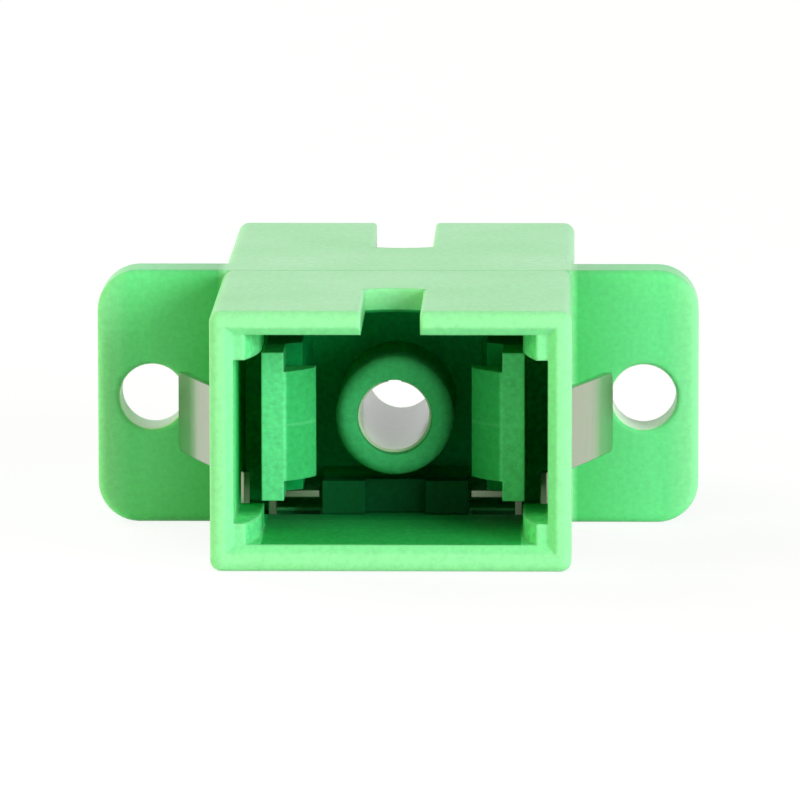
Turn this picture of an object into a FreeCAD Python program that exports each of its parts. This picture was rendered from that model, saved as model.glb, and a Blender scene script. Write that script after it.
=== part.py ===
import FreeCAD, Part
import math
import os

# All sizes are in millimetres.
# +X points right, +Y runs away from the front port and +Z points to the key slots.
# The origin is on the ferrule axis, at the front face of the flange.
# A depth is measured from the face of the port it belongs to.

# Housing body
body_width = 12.8
body_height = 9.3
front_length = 12.0
rear_length = 15.4
side_wall = 0.84
roof_wall = 0.86
floor_wall = 0.95
body_edge_radius = 0.4
mouth_chamfer = 0.3

# Key slots in the roof
front_slot_width = 2.1
front_slot_depth = 6.8
rear_slot_width = 2.25
rear_slot_depth = 8.4
slot_end_bulge = 0.3
slot_edge_radius = 0.15
front_slot_lead = 0.15
rear_slot_lead = 0.5

# Corner guides inside each port
guide_gap = 9.32
guide_upper_clearance = 0.22
guide_lower_clearance = 0.28
guide_length = 5.3
guide_nose_width = 0.5
guide_nose_length = 3.4
guide_nose_bulge = 0.16

# Flange and its screw holes
flange_width = 22.0
flange_thickness = 2.4
flange_corner_radius = 1.5
flange_edge_radius = 0.3
screw_margin = 2.0
screw_hole_diameter = 2.4
screw_hole_chamfer = 0.1

# Optical middle plane, where the two ferrules meet
middle_offset = 0.65

# Split sleeve
ferrule_diameter = 2.5
sleeve_wall = 0.35
sleeve_length = 11.4
sleeve_slit = 0.45
sleeve_end_chamfer = 0.12

# Tube of the latch holders, which keeps the sleeve in with a lip at each end
sleeve_play = 0.05
tube_wall = 0.48
tube_nose_radius = 0.5
lip_length = 0.4
lip_play = 0.05
lip_clearance = 0.075
lip_lead = 0.04

# Base plates of the latch holders and the pocket that takes them
plate_thickness = 1.3
plate_tongue = 0.3
plate_clearance = 0.02
plate_corner_radius = 0.3

# Pins that line up the two base plates
pin_diameter = 0.9
pin_length = 0.6
pin_play = 0.05
pin_x = 3.5
pin_z = 2.95

# Latch arms
latch_reach = 8.65
latch_outer = 9.4
latch_tip_thickness = 0.79
latch_thickness = 1.38
latch_height = 5.34
latch_hook_gap = 5.6
latch_hook_height = 3.94
latch_ramp_length = 1.4
latch_ramp_bulge = 0.1
latch_land_length = 0.5
latch_shoulder_length = 2.5
latch_root_length = 1.0
latch_root_flare = 0.4

# Foot under the tube, which stands on the floor of the cavity
foot_width = 5.3
foot_drop = 0.34
foot_length = 5.05
foot_recess_width = 2.2
foot_recess_depth = 0.5

# Sheet metal clip that holds the adapter in a panel
clip_thickness = 0.25
clip_sink = 0.02
clip_bend_radius = 0.3
clip_front_depth = 3.2
clip_rear_depth = 10.6
clip_leg_top = 2.4
clip_play = 0.06
wing_height = 2.9
wing_root_depth = 3.75
wing_tip_depth = 8.3
wing_tip_reach = 7.74
wing_knee_depth = 6.0
wing_knee_reach = 7.05
wing_knee_radius = 30.0
wing_corner_radius = 0.35
lance_gap = 0.12

# Hooks of the clip that come up through the floor
hook_width = 1.5
hook_depth = 7.7
hook_outer_x = 4.46
hook_clearance = 0.165
hook_gap = 5.5

# Barbs of the clip that catch in the side walls
barb_depth = 7.3
barb_length = 1.7
barb_lean = 0.9
barb_z = -2.75
barb_height = 1.3

# Values worked out from the sizes above
half_width = body_width / 2
half_height = body_height / 2
cavity_half_width = half_width - side_wall
cavity_roof = half_height - roof_wall
cavity_floor = floor_wall - half_height
screw_spacing = flange_width - 2 * screw_margin
sleeve_radius = ferrule_diameter / 2 + sleeve_wall
tube_bore_radius = sleeve_radius + sleeve_play
tube_radius = tube_bore_radius + tube_wall
tube_reach = sleeve_length / 2 + lip_play + lip_length
clip_recess = clip_thickness + clip_sink
clip_middle_x = half_width - clip_recess + clip_thickness / 2
clip_middle_z = clip_recess - half_height - clip_thickness / 2
hook_middle_z = -latch_height / 2 - hook_clearance - clip_thickness / 2
overshoot = 1.0


def vector(x, y, z):
    return FreeCAD.Vector(x, y, z)


# Box between two limits on each axis
def block(x_limits, y_limits, z_limits):
    size = [limits[1] - limits[0] for limits in (x_limits, y_limits, z_limits)]
    corner = vector(x_limits[0], y_limits[0], z_limits[0])
    return Part.makeBox(size[0], size[1], size[2], corner)


# Edges that run along Y
def long_edges(shape):
    found = []
    for edge in shape.Edges:
        box = edge.BoundBox
        if box.YLength > max(box.XLength, box.ZLength):
            found.append(edge)
    return found


# Box whose edges along Y are rounded
def rounded_bar(x_limits, y_limits, z_limits, radius):
    bar = block(x_limits, y_limits, z_limits)
    return bar.makeFillet(radius, long_edges(bar))


# Cylinder along Y between two places
def rod(radius, y_limits, x=0.0, z=0.0):
    length = y_limits[1] - y_limits[0]
    return Part.makeCylinder(radius, length, vector(x, y_limits[0], z), vector(0, 1, 0))


# Solid turned about the Y axis from points of radius and y
def turned(points):
    corners = [vector(radius, y, 0) for radius, y in points]
    face = Part.Face(Part.makePolygon(corners + corners[:1]))
    return face.revolve(vector(0, 0, 0), vector(0, 1, 0), 360)


def mirrored(shape):
    return shape.mirror(vector(0, 0, 0), vector(1, 0, 0))


def half_turn(shape):
    turned_shape = shape.copy()
    turned_shape.rotate(vector(0, 0, 0), vector(0, 0, 1), 180)
    return turned_shape


def moved(shape, x=0.0, y=0.0, z=0.0):
    copy = shape.copy()
    copy.translate(vector(x, y, z))
    return copy


# Plate raised along Z from corners in the XY plane
def raised_plate(corners, z_limits):
    points = [vector(x, y, z_limits[0]) for x, y in corners]
    face = Part.Face(Part.makePolygon(points + points[:1]))
    return face.extrude(vector(0, 0, z_limits[1] - z_limits[0]))


# Plate raised along Z whose outline is an arc through three points and then straight lines
def bulged_plate(arc, rest, z_limits):
    bend = Part.Arc(*[vector(x, y, z_limits[0]) for x, y in arc]).toShape()
    line = Part.makePolygon([vector(x, y, z_limits[0]) for x, y in [arc[-1]] + rest + [arc[0]]])
    face = Part.Face(Part.Wire([bend] + line.Edges))
    return face.extrude(vector(0, 0, z_limits[1] - z_limits[0]))


# Outline of a bent sheet, whose middle line runs through the points.
# Each inner point is a bend, and both sides of the sheet bend about the same centre.
def sheet_face(points, radii, thickness):
    sides = {1: [], -1: []}
    starts = {side: None for side in sides}
    half = thickness / 2
    normal = plane_normal(points)
    for index in range(1, len(points)):
        before = (points[index] - points[index - 1]).normalize()
        across = normal.cross(before)
        for side in sides:
            if starts[side] is None:
                starts[side] = points[0] + across * (half * side)
        if index == len(points) - 1:
            for side in sides:
                end = points[index] + across * (half * side)
                sides[side].append(Part.LineSegment(starts[side], end).toShape())
                starts[side] = end
            continue
        after = (points[index + 1] - points[index]).normalize()
        turn = before.getAngle(after)
        left = normal.dot(before.cross(after)) > 0
        radius = radii[index - 1]
        run = radius * math.tan(turn / 2)
        inward = (after - before).normalize()
        centre = points[index] + inward * (radius / math.cos(turn / 2))
        for side in sides:
            inner = (side == 1) == left
            bend = radius - half if inner else radius + half
            enter = points[index] - before * run + across * (half * side)
            leave = points[index] + after * run + normal.cross(after) * (half * side)
            sides[side].append(Part.LineSegment(starts[side], enter).toShape())
            sides[side].append(Part.Arc(enter, centre - inward * bend, leave).toShape())
            starts[side] = leave
    first_cap = Part.LineSegment(sides[1][0].Vertexes[0].Point, sides[-1][0].Vertexes[0].Point)
    last_cap = Part.LineSegment(starts[1], starts[-1])
    edges = sides[1] + sides[-1] + [first_cap.toShape(), last_cap.toShape()]
    return Part.Face(Part.Wire(Part.__sortEdges__(edges)))


# Unit vector square to the plane of the points
def plane_normal(points):
    return (points[1] - points[0]).cross(points[2] - points[1]).normalize()


# Outer block of one port, with its face at y 0 and the port running along +Y
def port_outside(length):
    body = block((-half_width, half_width), (0, length), (-half_height, half_height))
    edges = long_edges(body)
    for edge in body.Edges:
        if edge.BoundBox.YMax < mouth_chamfer:
            edges.append(edge)
    return body.makeFillet(body_edge_radius, edges)


# Hollow of one port, with the chamfer round its mouth
def port_hollow(length):
    hollow = block(
        (-cavity_half_width, cavity_half_width),
        (-overshoot, length + overshoot),
        (cavity_floor, cavity_roof),
    )
    mouth = Part.makeWedge(
        -cavity_half_width - mouth_chamfer, 0, cavity_floor - mouth_chamfer,
        cavity_floor, -cavity_half_width,
        cavity_half_width + mouth_chamfer, mouth_chamfer, cavity_roof + mouth_chamfer,
        cavity_roof, cavity_half_width,
    )
    return hollow.fuse(mouth)


# Slot in the roof for the plug's key, with a slightly bulged end
def key_slot(width, depth):
    side = width / 2
    return bulged_plate(
        [(side, depth - slot_end_bulge), (0, depth), (-side, depth - slot_end_bulge)],
        [(-side, -overshoot), (side, -overshoot)],
        (0, half_height + overshoot),
    )


# Rounded lead-in on both sides of the key slot's mouth
def slot_mouth(width, lead):
    side = width / 2
    middle = lead * (1 - math.sqrt(0.5))
    corner = bulged_plate(
        [(side, lead), (side + middle, middle), (side + lead, 0)],
        [(side + lead, -overshoot), (0, -overshoot), (0, lead)],
        (0, half_height + overshoot),
    )
    return corner.fuse(mirrored(corner))


# Long edges of the key slot on top of the roof
def slot_rims(shell, width):
    found = []
    for edge in long_edges(shell):
        box = edge.BoundBox
        on_side = abs(abs(box.XMin) - width / 2) < slot_edge_radius and box.XLength < slot_edge_radius
        if on_side and box.ZMin > cavity_roof + slot_edge_radius:
            found.append(edge)
    return found


# Guide in one corner of a port, with a rounded nose that leads the plug in
def corner_guide(z_limits):
    face_x = guide_gap / 2
    root_x = cavity_half_width + side_wall / 2
    nose_x = face_x + guide_nose_width
    nose_y = mouth_chamfer + guide_nose_length
    middle = ((face_x + nose_x) / 2 - guide_nose_bulge, (mouth_chamfer + nose_y) / 2)
    return bulged_plate(
        [(nose_x, mouth_chamfer), middle, (face_x, nose_y)],
        [(face_x, guide_length), (root_x, guide_length), (root_x, mouth_chamfer)],
        z_limits,
    )


# The four corner guides of a port, rooted in the walls
def corner_guides():
    upper_face = latch_height / 2 + guide_upper_clearance
    lower_face = -latch_height / 2 - guide_lower_clearance
    upper = corner_guide((upper_face, cavity_roof + roof_wall / 2))
    lower = corner_guide((cavity_floor - floor_wall / 2, lower_face))
    return [upper, lower, mirrored(upper), mirrored(lower)]


# One port cut from its outer block, or from the block and the flange together
def hollowed(outside, length, slot_width, slot_depth, slot_lead):
    shell = outside.cut(key_slot(slot_width, slot_depth))
    shell = shell.makeFillet(slot_edge_radius, slot_rims(shell, slot_width))
    shell = shell.cut(slot_mouth(slot_width, slot_lead))
    shell = shell.cut(port_hollow(length))
    for guide in corner_guides():
        shell = shell.fuse(guide)
    return shell.removeSplitter()


# Pocket across the joint of the housings, which grips the two base plates
def plate_pocket(clearance):
    reach = plate_tongue + clearance
    return rounded_bar(
        (-cavity_half_width - reach, cavity_half_width + reach),
        (middle_offset - plate_thickness - clearance, middle_offset + plate_thickness + clearance),
        (cavity_floor - reach, cavity_roof + reach),
        plate_corner_radius + clearance,
    )


# Recess round three sides of the front housing, in which the clip lies flush
def clip_seat():
    y_limits = (clip_front_depth - front_length - clip_play, clip_rear_depth - front_length + clip_play)
    band = block(
        (-half_width - overshoot, half_width + overshoot),
        y_limits,
        (-half_height - overshoot, clip_leg_top + clip_play),
    )
    core = rounded_bar(
        (clip_recess - half_width, half_width - clip_recess),
        (y_limits[0] - overshoot, y_limits[1] + overshoot),
        (clip_recess - half_height, half_height + overshoot),
        clip_bend_radius - clip_thickness / 2,
    )
    return band.cut(core)


# Windows in the floor for the clip's hooks and in the walls for its barbs
def clip_windows():
    hook_y = hook_depth - front_length
    barb_y = barb_depth - front_length
    floor_window = block(
        (hook_gap / 2 - clip_play, hook_outer_x + clip_bend_radius + clip_play),
        (hook_y - clip_play, hook_y + hook_width + clip_play),
        (-half_height - overshoot, cavity_floor + overshoot / 2),
    )
    wall_window = block(
        (cavity_half_width - overshoot / 2, half_width + overshoot),
        (barb_y - clip_play, barb_y + barb_length + clip_bend_radius),
        (barb_z - barb_height / 2 - clip_play, barb_z + barb_height / 2 + clip_play),
    )
    return [floor_window, wall_window, mirrored(floor_window), mirrored(wall_window)]


def front_housing():
    outside = port_outside(front_length)
    shell = hollowed(outside, front_length, front_slot_width, front_slot_depth, front_slot_lead)
    shell = moved(shell, y=-front_length)
    shell = shell.cut(plate_pocket(plate_clearance))
    shell = shell.cut(clip_seat())
    for window in clip_windows():
        shell = shell.cut(window)
    return shell


# Flange as a plate across the body, rounded at its corners and edges
def flange():
    plate = rounded_bar(
        (-flange_width / 2, flange_width / 2),
        (0, flange_thickness),
        (-half_height, half_height),
        flange_corner_radius,
    )
    rim = [edge for edge in plate.Edges if edge.BoundBox.YLength < flange_edge_radius]
    return plate.makeFillet(flange_edge_radius, rim)


# Screw hole through the flange, slightly broken at both faces
def screw_hole(x):
    radius = screw_hole_diameter / 2
    wide = radius + screw_hole_chamfer
    profile = [
        (0, 0),
        (wide, 0),
        (radius, screw_hole_chamfer),
        (radius, flange_thickness - screw_hole_chamfer),
        (wide, flange_thickness),
        (0, flange_thickness),
    ]
    return moved(turned(profile), x=x)


def rear_housing():
    outside = moved(half_turn(port_outside(rear_length)), y=rear_length)
    outside = half_turn(moved(outside.fuse(flange()), y=-rear_length))
    shell = hollowed(outside, rear_length, rear_slot_width, rear_slot_depth, rear_slot_lead)
    shell = moved(half_turn(shell), y=rear_length)
    shell = shell.cut(plate_pocket(plate_clearance))
    for x in (-screw_spacing / 2, screw_spacing / 2):
        shell = shell.cut(screw_hole(x))
    return shell


# The latch holder is made with the middle plane at y 0 and its port towards -Y.
# Half of the tube, with the tapered lip that keeps the sleeve in
def holder_tube():
    lip_radius = ferrule_diameter / 2 + lip_clearance
    outside = turned([(0, -tube_reach), (tube_radius, -tube_reach), (tube_radius, 0), (0, 0)])
    nose = [edge for edge in outside.Edges if edge.BoundBox.YMax < -sleeve_length / 2]
    outside = outside.makeFillet(tube_nose_radius, nose)
    bore = turned([
        (0, -tube_reach),
        (lip_radius + lip_lead, -tube_reach),
        (lip_radius, lip_length - tube_reach),
        (tube_bore_radius, lip_length - tube_reach),
        (tube_bore_radius, 0),
        (0, 0),
    ])
    return outside, bore


# Base plate that the pocket of the housings grips
def holder_plate():
    pair = plate_pocket(0)
    pair.translate(vector(0, -middle_offset, 0))
    wide = half_width + overshoot
    tall = half_height + overshoot
    return pair.common(block((-wide, wide), (-plate_thickness, 0), (-tall, tall)))


# One springy arm with the hook that snaps behind the plug's shoulder
def latch_arm():
    outer = latch_outer / 2
    tip = outer - latch_tip_thickness
    inner = outer - latch_thickness
    hook = latch_hook_gap / 2
    ramp_end = latch_ramp_length - latch_reach
    land_end = ramp_end + latch_land_length
    shoulder = latch_shoulder_length - latch_reach
    arm = raised_plate(
        [
            (outer, -latch_reach),
            (tip, -latch_reach),
            (tip, shoulder),
            (inner, shoulder + latch_tip_thickness / 2),
            (inner, -plate_thickness - latch_root_length),
            (inner - latch_root_flare, -plate_thickness / 2),
            (outer, -plate_thickness / 2),
        ],
        (-latch_height / 2, latch_height / 2),
    )
    ramp_middle = ((tip + hook) / 2 - latch_ramp_bulge, (ramp_end - latch_reach - latch_ramp_bulge) / 2)
    wedge = bulged_plate(
        [(tip, -latch_reach), ramp_middle, (hook, ramp_end)],
        [(hook, land_end), (outer - latch_tip_thickness / 2, land_end), (outer - latch_tip_thickness / 2, -latch_reach)],
        (-latch_hook_height / 2, latch_hook_height / 2),
    )
    return arm.fuse(wedge)


# Foot that keeps the holder level, with a shallow recess in its front
def holder_foot():
    floor = cavity_floor + plate_clearance
    top = -tube_radius - foot_drop
    foot = block(
        (-foot_width / 2, foot_width / 2),
        (-foot_length, -plate_thickness / 2),
        (floor, top),
    )
    recess = block(
        (-foot_recess_width / 2, foot_recess_width / 2),
        (-foot_length - overshoot, foot_recess_depth - foot_length),
        (floor - overshoot, top + overshoot),
    )
    return foot.cut(recess)


# Two pins and two holes on the mating face, placed so that two equal plates fit together
def plate_pin(z):
    return rod(pin_diameter / 2, (-plate_thickness / 2, pin_length), pin_x, z)


def plate_pin_hole(z):
    return rod(pin_diameter / 2 + pin_play, (-pin_length - pin_play, overshoot), -pin_x, z)


def latch_holder():
    tube, bore = holder_tube()
    holder = holder_plate().fuse(tube)
    for part in (latch_arm(), mirrored(latch_arm()), holder_foot()):
        holder = holder.fuse(part)
    holder = holder.cut(bore)
    for z in (-pin_z, pin_z):
        holder = holder.fuse(plate_pin(z))
        holder = holder.cut(plate_pin_hole(z))
    return holder.removeSplitter()


def front_latch_holder():
    return moved(latch_holder(), y=middle_offset)


def rear_latch_holder():
    return moved(half_turn(latch_holder()), y=middle_offset)


# Ceramic tube with a slit along its top, broken at the ends of its bore
def split_sleeve():
    bore = ferrule_diameter / 2
    end = sleeve_length / 2
    sleeve = turned([
        (bore + sleeve_end_chamfer, -end),
        (sleeve_radius, -end),
        (sleeve_radius, end),
        (bore + sleeve_end_chamfer, end),
        (bore, end - sleeve_end_chamfer),
        (bore, sleeve_end_chamfer - end),
    ])
    slit = block(
        (-sleeve_slit / 2, sleeve_slit / 2),
        (-end - overshoot, end + overshoot),
        (0, sleeve_radius + overshoot),
    )
    return moved(sleeve.cut(slit), y=middle_offset)


# Band of the clip: a base under the body and a leg up each side
def clip_band():
    path = [
        vector(-clip_middle_x, 0, clip_leg_top),
        vector(-clip_middle_x, 0, clip_middle_z),
        vector(clip_middle_x, 0, clip_middle_z),
        vector(clip_middle_x, 0, clip_leg_top),
    ]
    face = sheet_face(path, [clip_bend_radius] * 2, clip_thickness)
    face.translate(vector(0, clip_front_depth - front_length, 0))
    return face.extrude(vector(0, clip_rear_depth - clip_front_depth, 0))


# Sheet piece bent in the XY plane, as tall as the Z limits
def standing_sheet(path, radii, z_limits):
    points = [vector(x, y - front_length, z_limits[0]) for x, y in path]
    face = sheet_face(points, radii, clip_thickness)
    return face.extrude(vector(0, 0, z_limits[1] - z_limits[0]))


# Edges through the sheet at the two corners of its free end, which lies furthest out
def sheet_corners(sheet):
    found = []
    for edge in sheet.Edges:
        flat = edge.BoundBox.ZLength < clip_thickness / 2
        if flat and edge.Length < 2 * clip_thickness and edge.CenterOfMass.x > wing_knee_reach:
            found.append(edge)
    return found


# Wing that springs out behind the panel, and the window it is lanced from
def clip_wing():
    z_limits = (-wing_height / 2, wing_height / 2)
    path = [
        (clip_middle_x, clip_front_depth),
        (clip_middle_x, wing_root_depth),
        (wing_knee_reach, wing_knee_depth),
        (wing_tip_reach, wing_tip_depth),
    ]
    wing = standing_sheet(path, [clip_bend_radius, wing_knee_radius], z_limits)
    wing = wing.makeFillet(wing_corner_radius, sheet_corners(wing))
    window = block(
        (half_width - overshoot, half_width + overshoot),
        (wing_root_depth - front_length, wing_tip_depth - front_length + 2 * lance_gap),
        (z_limits[0] - lance_gap, z_limits[1] + lance_gap),
    )
    return wing, window


# Barb that leans in through the side wall, towards the front, and the window it is lanced from
def clip_barb():
    z_limits = (barb_z - barb_height / 2, barb_z + barb_height / 2)
    path = [
        (clip_middle_x, barb_depth + barb_length + clip_bend_radius),
        (clip_middle_x, barb_depth + barb_length),
        (clip_middle_x - barb_lean, barb_depth),
    ]
    barb = standing_sheet(path, [clip_bend_radius], z_limits)
    window = block(
        (half_width - overshoot, half_width + overshoot),
        (barb_depth - front_length - lance_gap, barb_depth - front_length + barb_length),
        z_limits,
    )
    return barb, window


# Hook that rises through the floor and turns inwards, and the window it is lanced from
def clip_hook():
    hook_y = hook_depth - front_length
    path = [
        vector(hook_outer_x + 2 * clip_bend_radius, hook_y, clip_middle_z),
        vector(hook_outer_x, hook_y, clip_middle_z),
        vector(hook_outer_x, hook_y, hook_middle_z),
        vector(hook_gap / 2, hook_y, hook_middle_z),
    ]
    face = sheet_face(path, [clip_bend_radius] * 2, clip_thickness)
    hook = face.extrude(vector(0, hook_width, 0))
    length = hook_middle_z - clip_middle_z + hook_outer_x - hook_gap / 2
    window = block(
        (hook_outer_x - length, hook_outer_x + clip_thickness / 2),
        (hook_y - lance_gap, hook_y + hook_width + lance_gap),
        (-half_height - overshoot, clip_middle_z + clip_thickness),
    )
    return hook, window


def panel_clip():
    clip = clip_band()
    for tab, window in (clip_wing(), clip_barb(), clip_hook()):
        clip = clip.cut(window).cut(mirrored(window))
        clip = clip.fuse(tab).fuse(mirrored(tab))
    return clip.removeSplitter()


def build():
    nodes = {
        "front_housing": front_housing(),
        "rear_housing": rear_housing(),
        "front_latch_holder": front_latch_holder(),
        "rear_latch_holder": rear_latch_holder(),
        "split_sleeve": split_sleeve(),
        "panel_clip": panel_clip(),
    }
    os.makedirs("parts", exist_ok=True)
    for name, shape in nodes.items():
        shape.exportStep("parts/" + name + ".step")
        print(name, "solids", len(shape.Solids), "valid", shape.isValid(), "volume", round(shape.Volume, 2))


build()
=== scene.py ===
import math

import bpy
import numpy as np
from mathutils import Matrix, Vector


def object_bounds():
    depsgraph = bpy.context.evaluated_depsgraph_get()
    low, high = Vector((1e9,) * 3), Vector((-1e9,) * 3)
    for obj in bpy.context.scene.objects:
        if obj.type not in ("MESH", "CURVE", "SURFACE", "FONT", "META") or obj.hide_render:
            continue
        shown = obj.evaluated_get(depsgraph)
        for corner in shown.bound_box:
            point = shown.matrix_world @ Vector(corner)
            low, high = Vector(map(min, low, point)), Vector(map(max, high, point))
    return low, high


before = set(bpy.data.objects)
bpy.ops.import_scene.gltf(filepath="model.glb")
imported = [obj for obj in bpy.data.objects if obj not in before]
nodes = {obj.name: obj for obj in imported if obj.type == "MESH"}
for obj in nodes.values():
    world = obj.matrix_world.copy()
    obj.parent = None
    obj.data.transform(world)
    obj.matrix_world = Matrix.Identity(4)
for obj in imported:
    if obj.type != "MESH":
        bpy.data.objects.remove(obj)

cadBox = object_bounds()
mm = 0.001                      # the scene is in metres, the sizes below in millimetres
noiseLow, noiseHigh = 0.3, 0.7  # a noise texture seldom leaves this range
bevelSamples = 8                # smooth enough for edges under half a millimetre
print("frame loaded with", ", ".join(sorted(nodes)))


# sRGB hex to linear light: the dark toe is divided, the rest is raised to 2.4
def linearColour(hexCode):
    channels = np.array([int(hexCode[i:i + 2], 16) for i in (1, 3, 5)]) / 255
    linear = np.where(channels <= 0.04045, channels / 12.92, ((channels + 0.055) / 1.055) ** 2.4)
    return (*linear.tolist(), 1.0)


# One node with its settings and its incoming links
def addNode(tree, kind, settings=None, links=None):
    node = tree.nodes.new(kind)
    for key, value in (settings or {}).items():
        if isinstance(key, str) and hasattr(node, key):
            setattr(node, key, value)
        else:
            node.inputs[key].default_value = value
    for key, source in (links or {}).items():
        tree.links.new(source, node.inputs[key])
    return node


def newMaterial(name):
    material = bpy.data.materials.new(name)
    material.use_nodes = True
    material.node_tree.nodes.clear()
    return material, material.node_tree


def dress(nodeName, material):
    mesh = nodes[nodeName].data
    if not mesh.materials:
        mesh.materials.append(material)
    for index in range(len(mesh.materials)):
        mesh.materials[index] = material


# Noise cell size in millimetres to a texture scale in metres
def cells(size):
    return 1 / (size * mm)


# Distance to either side of the middle plane, and height
def sideAndHeight(tree, place):
    split = addNode(tree, "ShaderNodeSeparateXYZ", links={"Vector": place})
    side = addNode(tree, "ShaderNodeMath", {"operation": "ABSOLUTE"}, {0: split.outputs["X"]})
    return side.outputs["Value"], split.outputs["Z"]


# An edge as if rounded to a radius: its normal, and how far that agrees with the flat
# face's, which is the cosine between the two
def roundedEdges(tree, radius):
    rounded = addNode(tree, "ShaderNodeBevel", {"samples": bevelSamples, "Radius": radius * mm})
    face = addNode(tree, "ShaderNodeNewGeometry")
    alike = addNode(tree, "ShaderNodeVectorMath", {"operation": "DOT_PRODUCT"},
                    {0: rounded.outputs["Normal"], 1: face.outputs["Normal"]})
    return rounded.outputs["Normal"], alike.outputs["Value"]


# Boxes about the middle of the two ports: half the size, and the width of the soft edge
# inside it, in millimetres along X, Y and Z
portMiddle = (0.0, 1.7, 0.045)
insideBox = ((5.7, 13.38, 3.85), (0.06, 0.1, 0.06))     # all that lies behind the mouth's chamfer
footBox = ((2.7, 7.5, 3.85), (0.04, 0.25, 0.06))        # the foot and the nose of the tube
# Painted light and shade in the ports: lit and shaded copies of the green, by their names in a look, mostly
# deeper the further in, where less light reaches. Each one covers the ones before.
portShadeZones = [
    ("mouthColour", (5.94, 20.0, 4.09), (0.15, 0.1, 0.15)),
    ("windowColour", (5.0, 6.15, 4.5), (0.05, 0.05, 0.05)),
    ("guideColour", *insideBox),
    ("cavityShadeColour", (4.62, 13.38, 3.85), (0.03, 0.1, 0.06)),
    ("cavityShadeColour", (5.7, 11.6, 3.85), (0.06, 1.4, 0.06)),
    ("sideColour", (5.7, 9.5, 3.85), (0.06, 1.0, 0.06)),
    ("innerColour", (4.64, 9.66, 3.85), (0.06, 0.08, 0.06)),
    ("deepColour", (4.64, 7.5, 3.85), (0.06, 0.25, 0.06)),
    ("footColour", *footBox),
    ("tubeColour", (2.4, 7.5, 2.4), (0.1, 0.25, 0.1)),
    ("baseShadeColour", (4.64, 5.3, 3.85), (0.06, 1.2, 0.06)),
]


# Distance from the middle of the ports along each axis
def awayFromMiddle(tree, place):
    centred = addNode(tree, "ShaderNodeVectorMath",
                      {"operation": "SUBTRACT", 1: [value * mm for value in portMiddle]}, {0: place})
    distance = addNode(tree, "ShaderNodeVectorMath", {"operation": "ABSOLUTE"},
                       {0: centred.outputs["Vector"]})
    return addNode(tree, "ShaderNodeSeparateXYZ", links={"Vector": distance.outputs["Vector"]})


# Share of a box at a point: one ramp on the distance for each axis, multiplied
def boxShare(tree, away, halves, ramps):
    share = None
    for axis, half, ramp in zip("XYZ", halves, ramps):
        step = addNode(tree, "ShaderNodeMapRange",
                       {"From Min": half * mm, "From Max": (half - ramp) * mm},
                       {"Value": away.outputs[axis]}).outputs["Result"]
        if share is None:
            share = step
        else:
            share = addNode(tree, "ShaderNodeMath", {"operation": "MULTIPLY"},
                            {0: share, 1: step}).outputs["Value"]
    return share


# Lays the painted light and shade of the ports over the outside colour
def paintedPortShade(tree, away, outside, look):
    shade = outside
    for key, halves, ramps in portShadeZones:
        shade = addNode(tree, "ShaderNodeMix", {"data_type": "RGBA", 7: linearColour(look[key])},
                        {0: boxShare(tree, away, halves, ramps), 6: shade}).outputs[2]
    return shade


# Faint raised line that the two halves of the tool leave at mid-height of the latch arms,
# which stand out from the base plate on either side, drawn as a painted highlight
def partingLineHighlight(tree, away, look):
    outer, inner, start, ramp = (
        look[key] * mm for key in ("seamMm", "seamCoreMm", "seamFromMm", "seamRampMm"))
    line = addNode(tree, "ShaderNodeMapRange",
                   {"From Min": outer, "From Max": inner, "To Max": look["seamHighlightShare"]},
                   {"Value": away.outputs["Z"]}).outputs["Result"]
    for axis in "XY":
        arms = addNode(tree, "ShaderNodeMapRange", {"From Min": start, "From Max": start + ramp},
                       {"Value": away.outputs[axis]})
        line = addNode(tree, "ShaderNodeMath", {"operation": "MULTIPLY"},
                       {0: line, 1: arms.outputs["Result"]}).outputs["Value"]
    return line


# Colour across the part, by the distance from its middle: painted shade on the ears of the
# flange next to the body, where the body shades them, paling to painted light towards their
# ends, and a painted highlight, paler still, on the walls of the screw holes
def earShadeAndHoleHighlight(tree, place, body, look):
    side, height = sideAndHeight(tree, place)
    shade = body
    for colour, limits in look["ears"].items():
        start, end = (value * mm for value in limits)
        share = addNode(tree, "ShaderNodeMapRange", {"From Min": start, "From Max": end}, {"Value": side})
        shade = addNode(tree, "ShaderNodeMix", {"data_type": "RGBA", 7: linearColour(colour)},
                        {0: share.outputs["Result"], 6: shade}).outputs[2]
    flat = addNode(tree, "ShaderNodeCombineXYZ", links={"X": side, "Z": height})
    reach = addNode(tree, "ShaderNodeVectorMath",
                    {"operation": "DISTANCE", 1: (look["holeX"] * mm, 0, 0)}, {0: flat.outputs["Vector"]})
    outer, inner = ((look["holeRadius"] + skin) * mm for skin in look["holeSkin"])
    wall = addNode(tree, "ShaderNodeMapRange", {"From Min": outer, "From Max": inner},
                   {"Value": reach.outputs["Value"]})
    return addNode(tree, "ShaderNodeMix", {"data_type": "RGBA", 7: linearColour(look["holeHighlightColour"])},
                   {0: wall.outputs["Result"], 6: shade}).outputs[2]
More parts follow.
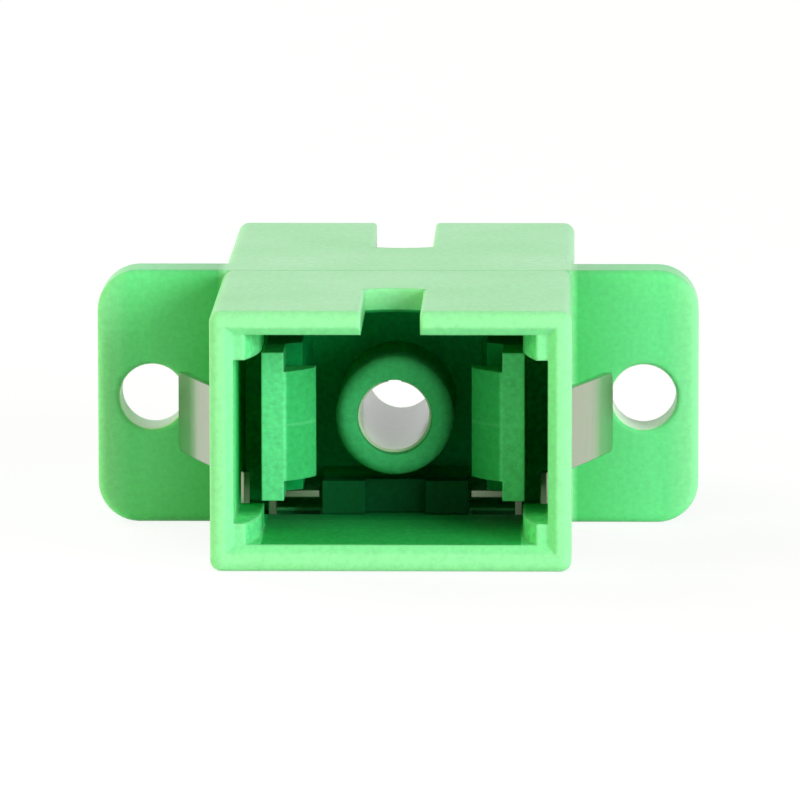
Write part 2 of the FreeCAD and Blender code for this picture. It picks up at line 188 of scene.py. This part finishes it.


# Moulded PBT: even green with a waxy depth, a fine spark-eroded skin that breaks the
# gloss into a satin, a painted highlight along the edges, and painted shade inside the
# ports, deeper greens for the light that fails with depth, where the satin is also duller
def mouldedPbt(name, look):
    material, tree = newMaterial(name)
    place = addNode(tree, "ShaderNodeTexCoord").outputs["Object"]
    away = awayFromMiddle(tree, place)
    inside = boxShare(tree, away, *insideBox)
    flow = addNode(tree, "ShaderNodeTexNoise", {"Scale": cells(look["flowMm"]), "Detail": 2.0},
                   {"Vector": place})
    drawn = addNode(tree, "ShaderNodeMapping", {"Scale": look["grainDraw"]}, {"Vector": place})
    grain = addNode(tree, "ShaderNodeTexNoise",
                    {"Scale": cells(look["grainMm"]), "Detail": 2.0, "Roughness": look["grainMix"]},
                    {"Vector": drawn.outputs["Vector"]})

    # colour: the flow of the melt, then the painted shade and light on the ears, hole walls and ports, then
    # the skin's fine specks
    flowShare = addNode(tree, "ShaderNodeMapRange", {"From Min": noiseLow, "From Max": noiseHigh},
                        {"Value": flow.outputs["Fac"]})
    outside = addNode(tree, "ShaderNodeMix", {
        "data_type": "RGBA", 6: linearColour(look["colour"]), 7: linearColour(look["flowColour"]),
    }, {0: flowShare.outputs["Result"]}).outputs[2]
    if look["ears"]:
        outside = earShadeAndHoleHighlight(tree, place, outside, look)
    zoned = paintedPortShade(tree, away, outside, look)
    swing = addNode(tree, "ShaderNodeMapRange", {
        "From Min": noiseLow, "From Max": noiseHigh, "To Min": -1.0, "To Max": 1.0,
    }, {"Value": grain.outputs["Fac"]})
    shade = addNode(tree, "ShaderNodeMath", {
        "operation": "MULTIPLY_ADD", 1: look["insideShade"], 2: look["grainShade"],
    }, {0: inside})
    speck = addNode(tree, "ShaderNodeMath", {"operation": "MULTIPLY_ADD", 2: 1.0},
                    {0: swing.outputs["Result"], 1: shade.outputs["Value"]})
    grained = addNode(tree, "ShaderNodeVectorMath", {"operation": "SCALE"},
                      {0: zoned, "Scale": speck.outputs["Value"]})

    # painted highlight on the edges and the parting line; the foot and the tube's nose lie too
    # deep for theirs to catch the light
    normal, alike = roundedEdges(tree, look["edgeMm"])
    faint, full = look["edgeLimits"]
    edge = addNode(tree, "ShaderNodeMapRange",
                   {"From Min": faint, "From Max": full, "To Max": look["edgeHighlightShare"]}, {"Value": alike})
    lit = addNode(tree, "ShaderNodeMath", {"operation": "SUBTRACT", 0: 1.0},
                  {1: boxShare(tree, away, *footBox)})
    lighter = addNode(tree, "ShaderNodeMath", {"operation": "MULTIPLY"},
                      {0: edge.outputs["Result"], 1: lit.outputs["Value"]}).outputs["Value"]
    if look["seamHighlightShare"] > 0:
        lighter = addNode(tree, "ShaderNodeMath", {"operation": "MAXIMUM"},
                          {0: lighter, 1: partingLineHighlight(tree, away, look)}).outputs["Value"]
    coloured = addNode(tree, "ShaderNodeMix",
                       {"data_type": "RGBA", 7: linearColour(look["edgeHighlightColour"])},
                       {0: lighter, 6: grained.outputs["Vector"]})

    # satin skin, duller inside
    smoothest, roughest = look["roughness"]
    rough = addNode(tree, "ShaderNodeMapRange", {
        "From Min": noiseLow, "From Max": noiseHigh, "To Min": smoothest, "To Max": roughest,
    }, {"Value": flow.outputs["Fac"]})
    duller = addNode(tree, "ShaderNodeMath", {"operation": "MULTIPLY_ADD", 1: look["insideRoughness"]},
                     {0: inside, 2: rough.outputs["Result"]})
    bump = addNode(tree, "ShaderNodeBump",
                   {"Strength": look["grainStrength"], "Distance": look["grainDepthMm"] * mm},
                   {"Height": grain.outputs["Fac"], "Normal": normal})
    shader = addNode(tree, "ShaderNodeBsdfPrincipled", {
        "IOR": look["ior"],
        "Specular IOR Level": look["gloss"],
        "Subsurface Weight": look["depthShare"],
        "Subsurface Radius": look["depthReach"],
        "Subsurface Scale": look["depthMm"] * mm,
    }, {
        "Base Color": coloured.outputs[2],
        "Roughness": duller.outputs["Value"],
        "Normal": bump.outputs["Normal"],
    })
    addNode(tree, "ShaderNodeOutputMaterial", links={"Surface": shader.outputs["BSDF"]})
    return material


frontHousingLook = {
    "colour": "#94E6A2", "flowColour": "#8FE29C", "edgeHighlightColour": "#9EECAA",
    # Painted light and shade inside the ports: each colour below is the green as lit or shaded at that place
    "mouthColour": "#84E49A", "guideColour": "#68E28C",     # chamfered rim and corner guides
    "cavityShadeColour": "#2EAE56", "innerColour": "#2EA856",      # floor and roof, from the mouth inwards
    "sideColour": "#28D46C",                                # side walls
    "deepColour": "#229A50", "footColour": "#229A50", "tubeColour": "#229A50",  # floor at the foot
    "baseShadeColour": "#1CB454",                                # what is left behind the foot
    "windowColour": "#106A36",                              # walls of the windows in the floor
    "ears": {},              # painted shade and light: colours and, in millimetres from the middle, where each one comes in
    "flowMm": 5.0,           # slow change of shade along the flow of the melt
    "grainMm": 0.22,         # spark-eroded skin, drawn about six times coarser than real so that it shows
    "grainDraw": (1.0, 0.6, 1.0),   # a little longer along the body
    "grainMix": 0.65,        # how much the finer half of the specks counts
    "grainShade": 0.06, "insideShade": 0.1,
    "grainDepthMm": 0.0006, "grainStrength": 0.4,
    "ior": 1.55, "gloss": 0.15, "roughness": (0.27, 0.33),
    "insideRoughness": 0.3,  # the core of the mould isn't polished, and leaves that much more
    "edgeMm": 0.18, "edgeHighlightShare": 0.35,
    "edgeLimits": (0.99, 0.8),      # cosines at which an edge starts to show and shows in full
    "seamHighlightShare": 0.0,
    "depthShare": 0.15, "depthMm": 0.4, "depthReach": (0.25, 1.0, 0.35),    # green soaks in furthest
}
rearHousingLook = {
    **frontHousingLook,
    # Painted shade on the ears next to the body, where the body shades them, paling to painted light at their
    # ends
    "ears": {"#50BC6A": (6.3, 6.6), "#6ADC88": (6.6, 9.3), "#90E6A0": (9.8, 11.0)},
    # Painted highlight on the walls of the screw holes
    "holeX": 9.0, "holeRadius": 1.2, "holeSkin": (0.04, 0.01), "holeHighlightColour": "#C8E6C4",
    "edgeMm": 0.3,
}
holderLook = {
    **frontHousingLook,
    "edgeHighlightColour": "#8CECAC",
    # Painted light and shade on the latch holders: each colour is the green as lit or shaded at that place
    "cavityShadeColour": "#64D68C", "innerColour": "#3AB262",      # tips of the latch arms, and their wedges
    "sideColour": "#18F070", "deepColour": "#0E8E44",       # outer sides of the arms, and their shoulders
    "footColour": "#0E5A2C", "tubeColour": "#45B66E", "baseShadeColour": "#0CBE60",
    "insideShade": 0.06, "gloss": 0.05, "edgeMm": 0.1, "edgeHighlightShare": 0.1,
    "seamHighlightShare": 0.12, "seamMm": 0.08, "seamCoreMm": 0.032,     # half widths of the line
    "seamFromMm": 2.6, "seamRampMm": 0.1,
}

dress("front_housing", mouldedPbt("front housing moulded PBT", frontHousingLook))
dress("rear_housing", mouldedPbt("rear housing moulded PBT", rearHousingLook))
holderPlastic = mouldedPbt("latch holder moulded PBT", holderLook)
dress("front_latch_holder", holderPlastic)
dress("rear_latch_holder", holderPlastic)
print("plastic mouldings finished")


sleeveLook = {
    # The green in these whites is painted light, bounced from the housing
    "colour": "#DCF0CC", "cloudColour": "#D2E6C2",
    "cloudMm": 0.8,          # faint clouding of the sintered body
    "grindMm": 0.06,         # rings left by grinding the bore, drawn ten times coarser than real
    "grindDraw": (0.02, 1.0, 0.02),
    "grindDepthMm": 0.0012, "grindStrength": 0.5,
    "ior": 2.15, "gloss": 0.22, "roughness": (0.16, 0.26),
    "depthShare": 0.3, "depthMm": 0.5, "depthReach": (1.0, 0.9, 0.8),
}


# Ground zirconia ceramic: ivory white with a green tint that is a painted reflection of the green housing
# round it, hard gloss, light soaks in a little
def groundZirconia(name, look):
    material, tree = newMaterial(name)
    place = addNode(tree, "ShaderNodeTexCoord").outputs["Object"]
    cloud = addNode(tree, "ShaderNodeTexNoise", {"Scale": cells(look["cloudMm"]), "Detail": 3.0},
                    {"Vector": place})
    drawn = addNode(tree, "ShaderNodeMapping", {"Scale": look["grindDraw"]}, {"Vector": place})
    rings = addNode(tree, "ShaderNodeTexNoise", {"Scale": cells(look["grindMm"]), "Detail": 1.0},
                    {"Vector": drawn.outputs["Vector"]})
    shade = addNode(tree, "ShaderNodeMix", {
        "data_type": "RGBA", 6: linearColour(look["colour"]), 7: linearColour(look["cloudColour"]),
    }, {0: cloud.outputs["Fac"]})
    smoothest, roughest = look["roughness"]
    rough = addNode(tree, "ShaderNodeMapRange", {"To Min": smoothest, "To Max": roughest},
                    {"Value": rings.outputs["Fac"]})
    bump = addNode(tree, "ShaderNodeBump",
                   {"Strength": look["grindStrength"], "Distance": look["grindDepthMm"] * mm},
                   {"Height": rings.outputs["Fac"]})
    shader = addNode(tree, "ShaderNodeBsdfPrincipled", {
        "IOR": look["ior"],
        "Specular IOR Level": look["gloss"],
        "Subsurface Weight": look["depthShare"],
        "Subsurface Radius": look["depthReach"],
        "Subsurface Scale": look["depthMm"] * mm,
    }, {
        "Base Color": shade.outputs[2],
        "Roughness": rough.outputs["Result"],
        "Normal": bump.outputs["Normal"],
    })
    addNode(tree, "ShaderNodeOutputMaterial", links={"Surface": shader.outputs["BSDF"]})
    return material


dress("split_sleeve", groundZirconia("split sleeve zirconia ceramic", sleeveLook))
print("ceramic sleeve finished")


clipLook = {
    "colour": "#ACB69C", "streakColour": "#A0AA90",
    "cutEdgeShadeColour": "#5E6A58", "edgeMm": 0.06,         # painted shade where the punch has cut the strip, whose thickness lies in shadow
    "edgeLimits": (0.97, 0.8),
    "tabColour": "#B4BAA4", "tabRoughness": 0.3,    # hooks and barbs, scuffed by bending
    "tabFromMm": -4.3,
    "baseShadeColour": "#3C4C38", "baseFromMm": -4.62,   # painted shade on the base's inner face, which lies under the floor of the housing
    "wallMm": 6.0, "wallRampMm": 0.05, "heightRampMm": 0.03,    # what counts as inside the walls
    "streakMm": 0.35,        # soft bands across the strip, from the rolling mill
    "lineMm": 0.05,          # rolling lines, drawn coarse enough to show
    "lineDraw": (0.06, 1.0, 0.06),
    "lineDepthMm": 0.001, "lineStrength": 0.6,
    "roughness": (0.15, 0.23), "anisotropy": 0.3,
    "bow": 0.06,             # the wings bow inwards by about that many millimetres a square millimetre
    "bowFromMm": 6.4, "bowToMm": 7.9,       # from where they leave the wall to past their tips
}


# Share of the steel that lies inside the walls, above a height
def withinWalls(tree, side, height, lowest, look):
    wall = look["wallMm"] * mm
    within = addNode(tree, "ShaderNodeMapRange",
                     {"From Min": wall, "From Max": wall - look["wallRampMm"] * mm}, {"Value": side})
    above = addNode(tree, "ShaderNodeMapRange",
                    {"From Min": lowest * mm, "From Max": (lowest + look["heightRampMm"]) * mm},
                    {"Value": height})
    return addNode(tree, "ShaderNodeMath", {"operation": "MULTIPLY"},
                   {0: within.outputs["Result"], 1: above.outputs["Result"]}).outputs["Value"]


# Cold-rolled stainless spring strip: grey with a warm cast, reflections drawn out a little
# along the rolling lines, which run round the clip from one leg to the other, and painted
# shade on the rims where the punch has cut it
def rolledStainless(name, look):
    material, tree = newMaterial(name)
    place = addNode(tree, "ShaderNodeTexCoord").outputs["Object"]
    side, height = sideAndHeight(tree, place)
    drawn = addNode(tree, "ShaderNodeMapping", {"Scale": look["lineDraw"]}, {"Vector": place})
    streaks, lines = (
        addNode(tree, "ShaderNodeTexNoise", {"Scale": cells(look[key]), "Detail": 2.0},
                {"Vector": drawn.outputs["Vector"]}).outputs["Fac"]
        for key in ("streakMm", "lineMm"))

    # colour: bands of the strip, painted shade on the cut rims and on the base inside the walls, the scuffed
    # tabs
    banded = addNode(tree, "ShaderNodeMix", {
        "data_type": "RGBA", 6: linearColour(look["colour"]), 7: linearColour(look["streakColour"]),
    }, {0: streaks})
    normal, alike = roundedEdges(tree, look["edgeMm"])
    faint, full = look["edgeLimits"]
    cut = addNode(tree, "ShaderNodeMapRange", {"From Min": faint, "From Max": full}, {"Value": alike})
    tabs = withinWalls(tree, side, height, look["tabFromMm"], look)
    shadedBase = withinWalls(tree, side, height, look["baseFromMm"], look)
    shade = banded.outputs[2]
    for key, share in (("cutEdgeShadeColour", cut.outputs["Result"]), ("baseShadeColour", shadedBase), ("tabColour", tabs)):
        shade = addNode(tree, "ShaderNodeMix", {"data_type": "RGBA", 7: linearColour(look[key])},
                        {0: share, 6: shade}).outputs[2]

    # rolling lines, and the bow of the wings as a height that falls with the square of
    # the distance from where they leave the wall
    smoothest, roughest = look["roughness"]
    rough = addNode(tree, "ShaderNodeMapRange", {
        "From Min": noiseLow, "From Max": noiseHigh, "To Min": smoothest, "To Max": roughest,
    }, {"Value": lines})
    dull = addNode(tree, "ShaderNodeMath", {"operation": "MULTIPLY_ADD", 1: look["tabRoughness"]},
                   {0: tabs, 2: rough.outputs["Result"]})
    start, end = look["bowFromMm"], look["bowToMm"]
    beyond = addNode(tree, "ShaderNodeMapRange",
                     {"From Min": start * mm, "From Max": end * mm, "To Max": end - start}, {"Value": side})
    square = addNode(tree, "ShaderNodeMath", {"operation": "MULTIPLY"},
                     {0: beyond.outputs["Result"], 1: beyond.outputs["Result"]})
    bowed = addNode(tree, "ShaderNodeMath",
                    {"operation": "MULTIPLY_ADD", 1: -look["bow"] / look["lineDepthMm"]},
                    {0: square.outputs["Value"], 2: lines})
    bump = addNode(tree, "ShaderNodeBump",
                   {"Strength": look["lineStrength"], "Distance": look["lineDepthMm"] * mm},
                   {"Height": bowed.outputs["Value"], "Normal": normal})
    tangent = addNode(tree, "ShaderNodeTangent", {"direction_type": "RADIAL", "axis": "Y"})
    shader = addNode(tree, "ShaderNodeBsdfPrincipled",
                     {"Metallic": 1.0, "Anisotropic": look["anisotropy"]}, {
                         "Base Color": shade,
                         "Roughness": dull.outputs["Value"],
                         "Normal": bump.outputs["Normal"],
                         "Tangent": tangent.outputs["Tangent"],
                     })
    addNode(tree, "ShaderNodeOutputMaterial", links={"Surface": shader.outputs["BSDF"]})
    return material


dress("panel_clip", rolledStainless("panel clip stainless strip", clipLook))
print("steel clip finished")


floorLook = {
    "radius": 1.6,           # metres
    "rings": (0.05, 0.3, 1.0), "corners": 96,
    "drop": 0.02,            # millimetres under the body
    "colour": "#F4F4F2", "fibreColour": "#F7F7F5", "fibreMm": 1.5,
    "glow": 0.86,            # share of white that the camera sees whatever the light
    "catch": 0.18,           # share that still shows the shadow
}


# Flat round floor: each point is the centre plus a radius turned through an angle
def roundFloor(look):
    corners = look["corners"]
    rings = np.array(look["rings"]) * look["radius"]
    angles = np.linspace(0, 2 * np.pi, corners, endpoint=False)
    radius, angle = np.meshgrid(rings, angles, indexing="ij")
    height = cadBox[0].z - look["drop"] * mm
    points = np.stack([radius * np.cos(angle), radius * np.sin(angle), np.full_like(radius, height)], axis=-1)
    points = np.vstack([[0, 0, height], points.reshape(-1, 3)])
    index = np.arange(corners)
    after = np.roll(index, -1)
    faces = np.stack([np.zeros_like(index), index + 1, after + 1], axis=1).tolist()
    for ring in range(len(rings) - 1):
        inner, outer = 1 + ring * corners, 1 + (ring + 1) * corners
        faces += np.stack([index + inner, index + outer, after + outer, after + inner], axis=1).tolist()
    mesh = bpy.data.meshes.new("studioFloor")
    mesh.from_pydata(points.tolist(), [], faces)
    floor = bpy.data.objects.new("studioFloor", mesh)
    bpy.context.scene.collection.objects.link(floor)
    return floor


# Is this ray the camera's own, or a mirror or glass one?
def seenRay(tree):
    path = addNode(tree, "ShaderNodeLightPath")
    seen = path.outputs["Is Camera Ray"]
    for kind in ("Is Glossy Ray", "Is Transmission Ray"):
        seen = addNode(tree, "ShaderNodeMath", {"operation": "ADD", "use_clamp": True},
                       {0: seen, 1: path.outputs[kind]}).outputs["Value"]
    return seen


# Matt white paper, which the camera sees as white with the object's shadow on it
def whitePaper(look):
    material, tree = newMaterial("white studio paper")
    place = addNode(tree, "ShaderNodeTexCoord").outputs["Object"]
    fibre = addNode(tree, "ShaderNodeTexNoise", {"Scale": cells(look["fibreMm"]), "Detail": 3.0},
                    {"Vector": place})
    tint = addNode(tree, "ShaderNodeMix", {
        "data_type": "RGBA", 6: linearColour(look["colour"]), 7: linearColour(look["fibreColour"]),
    }, {0: fibre.outputs["Fac"]})
    lit = addNode(tree, "ShaderNodeBsdfDiffuse", links={"Color": tint.outputs[2]})
    glow = addNode(tree, "ShaderNodeEmission", {"Strength": look["glow"]})
    catch = addNode(tree, "ShaderNodeBsdfDiffuse", {"Color": (look["catch"],) * 3 + (1.0,)})
    shown = addNode(tree, "ShaderNodeAddShader", links={0: glow.outputs[0], 1: catch.outputs[0]})
    mixed = addNode(tree, "ShaderNodeMixShader",
                    links={0: seenRay(tree), 1: lit.outputs[0], 2: shown.outputs[0]})
    addNode(tree, "ShaderNodeOutputMaterial", links={"Surface": mixed.outputs[0]})
    return material


floor = roundFloor(floorLook)
floor.data.materials.append(whitePaper(floorLook))
print("floor laid")


studioLook = {
    "fill": 0.19,                   # light from all round
    "target": (0.0, -2.0, 0.0),     # what the lamps face, in millimetres
}
# Each lamp: degrees to the right of the front, degrees up, distance and side in metres,
# level and tint. A level of 1 shows a white surface that faces the lamp as white.
lamps = {
    "key softbox": (44, 12, 0.55, 0.28, 1.13, "#F6F8FF"),
    "left softbox": (-72, 12, 0.6, 0.3, 0.6, "#E4F2B0"),
    "overhead softbox": (10, 70, 0.6, 0.3, 0.15, "#FFF6D6"),
    "rear softbox": (-135, 35, 0.6, 0.4, 0.5, "#FFFFFF"),
}


def addLamp(name, azimuth, elevation, distance, side, level, tint):
    turn, rise = math.radians(azimuth), math.radians(elevation)
    towards = Vector((math.sin(turn) * math.cos(rise), -math.cos(turn) * math.cos(rise), math.sin(rise)))
    light = bpy.data.lights.new(name, "AREA")
    light.shape = "SQUARE"
    light.size = side
    light.energy = level * math.pi ** 2 * distance ** 2
    light.color = linearColour(tint)[:3]
    lamp = bpy.data.objects.new(name, light)
    lamp.location = Vector(studioLook["target"]) * mm + towards * distance
    lamp.rotation_euler = towards.to_track_quat("Z", "Y").to_euler()
    lamp.visible_glossy = False     # gloss and steel mirror only the white paper round the set
    bpy.context.scene.collection.objects.link(lamp)


def lightWorld(look):
    world = bpy.data.worlds.new("white studio")
    world.use_nodes = True
    tree = world.node_tree
    tree.nodes.clear()
    fill, shown = (
        addNode(tree, "ShaderNodeBackground", {"Color": (1, 1, 1, 1), "Strength": strength})
        for strength in (look["fill"], 1.0))
    mixed = addNode(tree, "ShaderNodeMixShader",
                    links={0: seenRay(tree), 1: fill.outputs[0], 2: shown.outputs[0]})
    addNode(tree, "ShaderNodeOutputWorld", links={"Surface": mixed.outputs[0]})
    bpy.context.scene.world = world


for name, numbers in lamps.items():
    addLamp(name, *numbers)
lightWorld(studioLook)
bpy.context.scene.view_settings.view_transform = "Standard"
print("studio lit")


cameraLook = {
    "lens": 412.875, "sensor": 36.0,
    "frontFace": (0.0, -12.0, 0.0),      # middle of the front port's face
    "distance": 323.85,                  # from there to the camera
    "pitch": 7.774, "yaw": 1.288, "roll": -0.077,
    "slide": (-0.343, -1.507),           # right and up in the picture
    "clip": (0.01, 10.0),                # metres
}


def placeCamera(look):
    pitch, yaw, roll = (math.radians(look[key]) for key in ("pitch", "yaw", "roll"))
    forward = Vector((-math.sin(yaw) * math.cos(pitch), math.cos(yaw) * math.cos(pitch), -math.sin(pitch)))
    level = Vector((math.cos(yaw), math.sin(yaw), 0))
    above = level.cross(forward)
    right = level * math.cos(roll) + above * math.sin(roll)
    up = above * math.cos(roll) - level * math.sin(roll)
    slide = right * look["slide"][0] + up * look["slide"][1]
    data = bpy.data.cameras.new("camera")
    data.lens, data.sensor_width = look["lens"], look["sensor"]
    data.clip_start, data.clip_end = look["clip"]
    camera = bpy.data.objects.new("camera", data)
    camera.matrix_world = Matrix((right, up, -forward)).transposed().to_4x4()
    camera.location = (Vector(look["frontFace"]) - forward * look["distance"] - slide) * mm
    bpy.context.scene.collection.objects.link(camera)
    bpy.context.scene.camera = camera


placeCamera(cameraLook)
print("camera placed")
